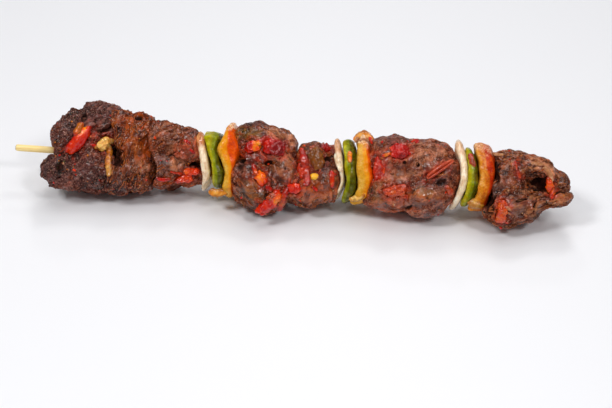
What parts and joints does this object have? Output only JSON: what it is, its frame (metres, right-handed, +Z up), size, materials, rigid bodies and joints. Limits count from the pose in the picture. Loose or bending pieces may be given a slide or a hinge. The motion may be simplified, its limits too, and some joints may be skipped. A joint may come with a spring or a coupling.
{
  "type": "beef kebab",
  "caption": "Grilled beef kebab: browned beef chunks, onion petals and sweet pepper pieces threaded on a bamboo skewer, lying on its side.",
  "frame": {"origin": "centre of the bounding box in plan, on the surface that the kebab lies on", "axes": "+X along the skewer from its bare blunt end to the last chunk, +Y away from the shown side, +Z up"},
  "size_m": [0.2498, 0.0481, 0.0389],
  "materials": {
    "bamboo": "matte",
    "charred_beef": "satin",
    "beef": "satin",
    "onion": "satin",
    "green_pepper": "gloss",
    "yellow_pepper": "gloss",
    "orange_pepper": "gloss",
    "red_pepper": "gloss",
    "tomato_skin": "gloss",
    "wilted_pepper": "satin",
    "fat": "gloss"
  },
  "bodies": {
    "root": {"beef_1": "charred_beef", "beef_2": "beef", "beef_3": "beef", "beef_4": "beef", "beef_5": "beef", "beef_6": "beef", "beef_7": "beef", "fat_1": "fat", "green_pepper_1": "green_pepper", "green_pepper_2": "green_pepper", "green_pepper_3": "green_pepper", "onion_1": "onion", "onion_2": "onion", "onion_3": "onion", "orange_pepper_3": "orange_pepper", "red_pepper_1": "red_pepper", "red_pepper_10": "red_pepper", "red_pepper_11": "red_pepper", "red_pepper_12": "red_pepper", "red_pepper_13": "red_pepper", "red_pepper_14": "red_pepper", "red_pepper_15": "red_pepper", "red_pepper_2": "red_pepper", "red_pepper_3": "red_pepper", "red_pepper_4": "red_pepper", "red_pepper_5": "red_pepper", "red_pepper_6": "red_pepper", "red_pepper_7": "red_pepper", "red_pepper_8": "red_pepper", "red_pepper_9": "red_pepper", "skewer": "bamboo", "tomato_skin_1": "tomato_skin", "wilted_pepper_1": "wilted_pepper", "yellow_pepper_1": "yellow_pepper", "yellow_pepper_2": "yellow_pepper"}
  },
  "joints": []
}
